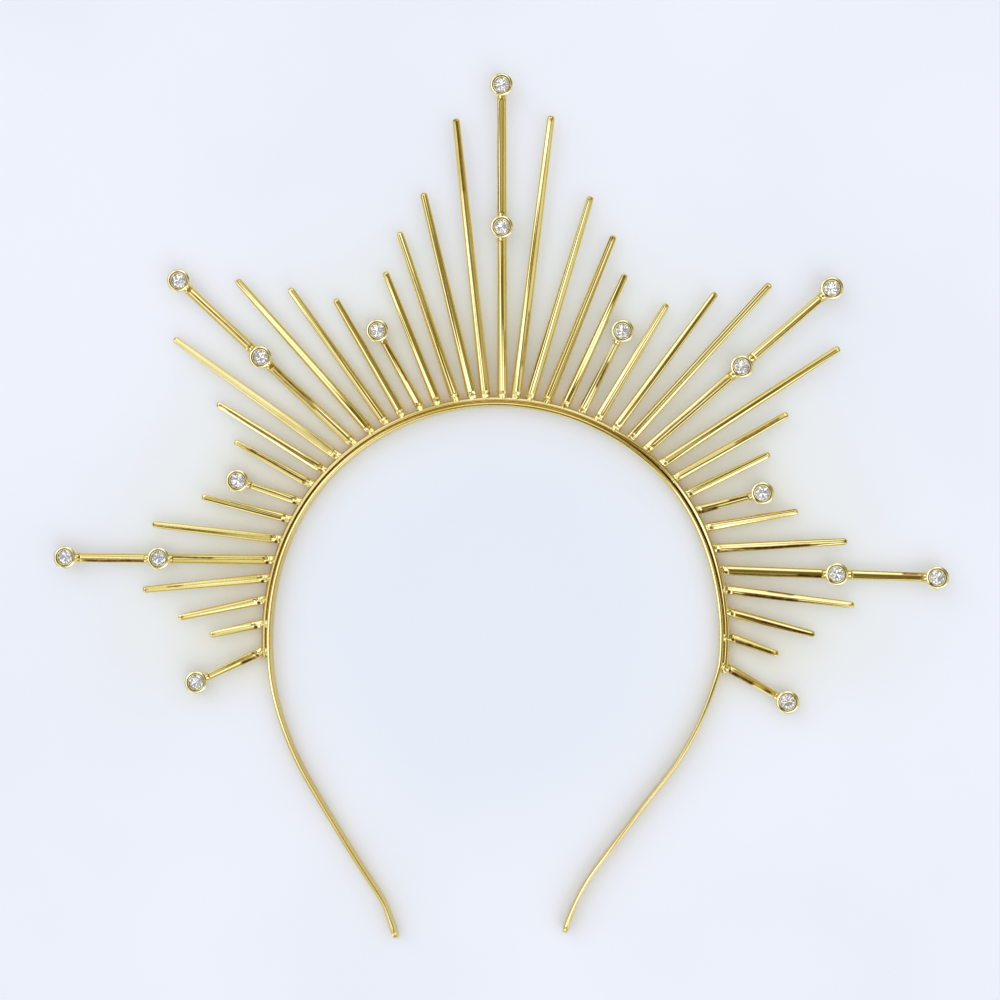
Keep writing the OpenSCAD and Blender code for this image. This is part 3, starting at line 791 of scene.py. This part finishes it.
def ray_rings(side, row):
    """Rings and brown of one ray, as one tube for each stretch between its cups: painted dark
    reflections, the pit's painted shade and a tip spot. The half width falls in a straight line from
    the foot to the tip, closes there as a superellipse, and has a shallow waist next to the rail. Bead
    and pit are added to the arch, and the tip has a brown spot, which is strong on some rays and
    missing on others."""
    length, angle = of_ray(side, row, length_left), side * of_ray(side, row, foot_left)
    foot, tip = ray_halves(side, row)
    start = -root - max(0.0, -float(bend(angle)))
    blunt = blunt_long * tip
    y = ray_stations(start, length, blunt)
    waist = np.exp(-((y - waist_at) / waist_long) ** 2)
    wide = np.interp(y, [taper_from, length], [foot, tip]) * (1 - waist_thin * waist)
    close = (1 - np.clip((y - (length - blunt)) / blunt, 0, 1) ** blunt_power) ** (1 / blunt_power)
    opened = np.interp(y, [start, start + 0.2], [0.7, 1])
    arch = low_arch if rng.random() < share_low else high_arch
    tall = wide * (arch - waist_low * waist)
    part = np.clip(y / length, 0, 1)
    flute = filed_flutes()
    phase = flute[2] + (flute[3] - flute[2]) * part
    half_width, height = wide * close * opened, tall * close * opened
    shares, across, up = half_round(half_width, height, crest_along(row, part), flute, phase)
    bead, pit, pit_depth_and_shade = foot_bells(side, row, y, across)
    on_arch = np.clip(up / 0.4, 0, 1)
    up = up + on_arch * (bead_high * bead - pit_deep * pit_depth_and_shade * pit)
    end = np.exp(-((y - length + rng.uniform(0.6, 1.4)) / spot_long) ** 2)[:, None]
    end = end * np.exp(-(shares / spot_wide) ** 2)
    # Painted shade in each pit, and a brown spot near the tip
    spots = np.maximum(pit_depth_and_shade * np.clip(1.9 * pit - 0.3, 0, 1), rng.uniform(0, 0.8) * end)
    brown = np.maximum(dark_reflections_along(side, row, y, shares), spots)
    rings = at_ray(side, row, np.stack([across, np.broadcast_to(y[:, None], across.shape), up], -1))
    reach = cup_out - in_cup
    edges = [start - 1] + [at + step for at in carried(side, row) for step in (-reach, reach)] + [length + 1]
    pieces = [(y >= first) & (y <= last) for first, last in zip(edges[::2], edges[1::2])]
    return [(rings[piece], brown[piece]) for piece in pieces if piece.sum() > 1]


def three_pieces(names, tubes_of):
    """Pieces for the middle ray, the left side and the right, from the tubes of each ray there."""
    for name, side in zip(names, (0, -1, 1)):
        mine = [place for place in places if place[0] * (place[1] > 0) == side]
        found = [tube for place in mine for tube in tubes_of(*place)]
        put_together(name, [rings for rings, _ in found], [brown for _, brown in found])


three_pieces(("ray_middle", "rays_left", "rays_right"), ray_rings)

# %% [markdown]
# ## Cups and collars
#
# Each stone sits in a turned cup: a bowl whose rim is rolled over the stone. It is a profile
# turned round an axis. A short collar thickens the ray where it meets the cup, and a ray that goes
# on past its cup has one on both sides.

# %% Turned shapes
cup_drop, stone_wide = 1.2, 2.35
around_cup, around_collar, collar_stations = 48, 32, 11


def turned(profile):
    """Rings of a profile turned round the upright axis. Each row of the profile is a radius and a
    height, and every ring is a circle of that radius."""
    turn = np.linspace(0, 2 * np.pi, around_cup, endpoint=False)[None, :]
    radius, up = profile[:, :1], profile[:, 1:]
    return np.stack(np.broadcast_arrays(radius * np.cos(turn), radius * np.sin(turn), up), -1)


def arc(middle, radius, first, last, points):
    """Points on an arc about a middle, from one angle to another, in degrees."""
    turn = np.radians(np.linspace(first, last, points))
    return np.stack([middle[0] + radius * np.cos(turn), middle[1] + radius * np.sin(turn)], -1)


# Radius and height in mm, from the middle of the underside outwards, over the rim with its groove
# and down into the bowl
cup_profile = np.concatenate([
    [(0.02, 0.0), (1.6, 0.0), (2.35, 0.06)],
    arc((2.45, 0.42), 0.36, -70, -20, 4), [(3.05, 1.2), (3.28, 2.1)],
    arc((3.24, 2.78), 0.14, -25, 60, 5), [(3.22, 2.96), (3.08, 3.02), (2.94, 3.07)],
    arc((2.80, 2.98), 0.12, 70, 180, 6), [(2.64, 2.82), (2.56, 2.78), (2.48, 2.79)],
    arc((2.36, 2.77), 0.09, 80, 130, 3), [(2.22, 2.76), (2.12, 2.68), (2.08, 2.58)],
    [(2.12, 2.45), (2.38, 2.2), (1.2, 1.3), (0.3, 0.55), (0.02, 0.5)]])
in_groove = (abs(cup_profile[:, 0] - 2.56) < 0.13) & (cup_profile[:, 1] > 2.75)
in_bowl = np.arange(len(cup_profile)) >= len(cup_profile) - 6
on_rim = (cup_profile[:, 0] > 2.1) & (cup_profile[:, 1] > 2.6) & ~in_groove
# Painted shade in the rim's groove and in the bowl under the stone; the rim is painted pale as a highlight
cup_shade_and_rim_highlight = np.maximum(0.85 * in_groove, 0.5 * in_bowl)[:, None] - 0.8 * on_rim[:, None]
print("cup profile:", len(cup_profile), "points")


def cup_rings(side, row, distance):
    """A cup with its middle that far along a ray. Its underside lies below the ray's back."""
    local = turned(cup_profile) + np.array([0, distance, -cup_drop])
    return at_ray(side, row, local)


def collar_rings(side, row, near, half, length=1.6, lip=0.14):
    """A short barrel round a ray: its radius swells as a half sine over its length."""
    y = np.linspace(0, length, collar_stations)
    radius = (half + lip * np.sqrt(np.sin(np.pi * np.clip(y / length, 0.02, 0.98))))[:, None]
    turn = np.linspace(0, 2 * np.pi, around_collar, endpoint=False)[None, :]
    around, up = radius * np.sin(turn), 0.3 + radius * np.cos(turn)
    return at_ray(side, row, np.stack(np.broadcast_arrays(around, near + y[:, None], up), -1))


# %% Cups on their rays
# A collar starts this far before its cup, or past the cup this far inside the cup's wall
collar_before, collar_inside = 1.0, 0.6
collar_taper_from = 2.2


def cups_and_collars(side, row):
    """The turned pieces of one ray, each with its brown: on a cup, painted shade in groove and bowl and
    a pale painted highlight on the rim. A collar is browned at its joint, in three dots round it."""
    length, made = of_ray(side, row, length_left), []
    turn = np.linspace(0, 2 * np.pi, around_collar, endpoint=False)
    dots = 0.3 + 0.7 * np.clip(np.cos(turn * 3), 0, 1)
    joint = 0.85 * np.exp(-(np.arange(collar_stations) - 1.0) ** 2)[:, None] * dots[None, :]
    for distance in carried(side, row):
        near, past = distance - cup_out - collar_before, distance + cup_out - collar_inside
        halves = np.interp((near, past), [collar_taper_from, length], ray_halves(side, row))
        half_near, half_past = halves
        made.append((cup_rings(side, row, distance), cup_shade_and_rim_highlight))
        made.append((collar_rings(side, row, near, half_near), joint))
        if distance < length:
            made.append((collar_rings(side, row, past, half_past), joint[::-1]))
    return made


three_pieces(("cups_middle", "cups_left", "cups_right"), cups_and_collars)

# %% [markdown]
# ## Solder
#
# Small beads of solder join rail and strip near both ends. A bead is a drop that ran a little way
# along the seam. A scaled sphere would look like a pill, so its radius has a slow ripple.

# %% Solder beads
solder_angles, solder_reach, solder_up = (-95, -88, 91, 98), 69.25, 3.3
solder_half, solder_half_up, solder_half_long = 1.0, 1.05, 1.5


def solder_bead(angle, phase):
    """Rings of a ball about an axis along the seam, 3 mm long and 2 mm thick, with a radius that
    ripples by a twelfth. The rings' radius is the sine of an even turn."""
    polar = np.linspace(0.06, np.pi - 0.06, 18)[:, None]
    turn = np.linspace(0, 2 * np.pi, 24, endpoint=False)[None, :]
    ripple = 1 + 0.08 * np.sin(2 * turn + phase) * np.sin(polar) + 0.05 * np.cos(3 * polar + phase)
    reach = solder_reach + solder_half * np.sin(polar) * np.cos(turn) * ripple + bend(angle)
    up = -solder_half_up * np.sin(polar) * np.sin(turn) * ripple
    along = -solder_half_long * np.cos(polar) * np.ones_like(turn)
    a = np.radians(angle)
    return np.stack([reach * np.sin(a) + along * np.cos(a),
                     reach * np.cos(a) - along * np.sin(a) + head_mm, solder_up + up], -1)


put_together("solder_beads", [solder_bead(angle, phase) for phase, angle in enumerate(solder_angles)])

# %% [markdown]
# ## Stones
#
# The stones are clear cut glass with a silver foil behind, which throws the light back out as
# white flashes with grey facets between them. A clear stone over gold would look yellow, so the
# lower facets get the foil and the upper ones the glass, in one closed mesh. Its facets stay flat,
# and each stone is turned and tipped a little, so that no two flash alike.

# %% Glass and foil
def glass_finish():
    material, start, place = new_finish("clear_stone")
    haze = start.noise(place, 900.0, 2.0)
    start.surface({
        "Base Color": haze.step(0.3, 0.7).mix(colour(0.98, 0.98, 0.97), colour(0.97, 0.98, 0.98)),
        "Roughness": haze.step(0.4, 0.8, 0.01, 0.04), "IOR": 1.6, "Transmission Weight": 1.0})
    return material


def foil_finish():
    material, start, place = new_finish("silver_foil")
    tint = start.noise(place, 420.0, 0.0)
    bluish = tint.step(0.35, 0.45).mix(colour(0.96, 0.96, 0.96), colour(0.97, 0.96, 0.94))
    shade = tint.step(0.55, 0.65).mix(bluish, colour(0.98, 0.96, 0.97))
    start.surface({"Base Color": shade, "Metallic": 1.0, "Roughness": 0.06})
    return material


glass, foil = glass_finish(), foil_finish()
print("stone finishes:", glass.name, "and", foil.name)

# %% [markdown]
# ## The cut
#
# A brilliant's flat facets follow a fixed pattern, and its flashes come from the angles between
# them. A squashed sphere could stand in for it from far off. Here the corners are five rings of
# points and a tip, and the facets are found by counting round those rings.

# %% Cut of a stone
girdle_up, girdle_high, crown_high, point_deep = 2.15, 0.2, 0.65, 0.6


def circle(points, radius, up, shift=0.0):
    """Points evenly round the upright axis, turned by a share of the step between them."""
    turn = 2 * np.pi * (np.arange(points) + shift) / points
    return np.stack([radius * np.cos(turn), radius * np.sin(turn), np.full(points, up)], -1)


def cut_stone():
    """Points and faces of a brilliant: table, 8 stars, 8 kites and 16 upper facets, the girdle,
    and below it 16 lower facets and 8 long ones down to the point. The star points lie on the
    line from table to girdle, so that each kite is flat."""
    table_wide, star_wide = 0.56 * stone_wide, 0.78 * stone_wide
    slope = (star_wide * np.cos(np.pi / 8) - table_wide) / (stone_wide - table_wide)
    low_wide = 0.34 * stone_wide
    low_up = -point_deep * (1 - low_wide / np.cos(np.pi / 8) / stone_wide * 1.02)
    points = np.concatenate([
        circle(8, table_wide, girdle_high + crown_high),
        circle(8, star_wide, girdle_high + crown_high * (1 - slope), 0.5),
        circle(16, stone_wide, girdle_high), circle(16, stone_wide, 0),
        circle(8, low_wide, low_up, 0.5), [(0, 0, -point_deep)]])
    k, j = np.arange(8), np.arange(16)
    top, star, upper, lower, low, tip = 0, 8, 16, 32, 48, 56
    after, before = (k + 1) % 8, (k + 7) % 8
    faces = [list(range(8))]
    faces += np.stack([top + k, star + k, top + after], -1).tolist()
    faces += np.stack([top + k, star + before, upper + 2 * k, star + k], -1).tolist()
    faces += np.stack([star + k, upper + 2 * k, upper + 2 * k + 1], -1).tolist()
    faces += np.stack([star + k, upper + 2 * k + 1, upper + (2 * k + 2) % 16], -1).tolist()
    faces += np.stack([upper + j, lower + j, lower + (j + 1) % 16, upper + (j + 1) % 16], -1).tolist()
    glass_faces = len(faces)
    faces += np.stack([lower + 2 * k, low + k, lower + 2 * k + 1], -1).tolist()
    faces += np.stack([lower + 2 * k + 1, low + k, lower + (2 * k + 2) % 16], -1).tolist()
    faces += np.stack([lower + 2 * k, low + before, np.full(8, tip), low + k], -1).tolist()
    return points, faces, glass_faces


stone_points, stone_facets, of_glass = cut_stone()
print("stone:", len(stone_facets), "facets,", of_glass, "of them glass")


# %% Stones in their cups
def stone_name(side, row, distance):
    """The name of the solid that a stone takes the place of."""
    which = "middle" if row == 0 else f"{'left' if side < 0 else 'right'}_{row}"
    two = rays[row, cup_middle] > 0
    return f"stone_{which}" + ("" if not two else "_mid" if distance == rays[row, cup_middle] else "_tip")


def set_stone(side, row, distance):
    """One stone, turned at random and tipped by up to two degrees in its cup."""
    spin, lean, way = rng.uniform(0, 2 * np.pi), np.radians(rng.uniform(0, 2)), rng.uniform(0, 2 * np.pi)
    axis = Vector((np.cos(way), np.sin(way), 0))
    turned_by = np.array(Matrix.Rotation(lean, 3, axis) @ Matrix.Rotation(spin, 3, "Z"))
    local = stone_points @ turned_by.T + np.array([0, distance, girdle_up - cup_drop])
    node = stone_name(side, row, distance)
    mesh = bpy.data.meshes.new(node.replace("stone", "cut_stone"))
    mesh.from_pydata(at_ray(side, row, local) * MM, [], stone_facets)
    mesh.materials.append(glass)
    mesh.materials.append(foil)
    is_foil = np.arange(len(stone_facets)) >= of_glass
    mesh.polygons.foreach_set("material_index", is_foil.astype(np.int32))
    mesh.validate()
    piece = bpy.data.objects.new(mesh.name, mesh)
    scene.collection.objects.link(piece)
    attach(piece, "root")
    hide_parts(node)
    return piece


stones = [set_stone(*place, distance) for place in places for distance in carried(*place)]
print(len(stones), "stones set")
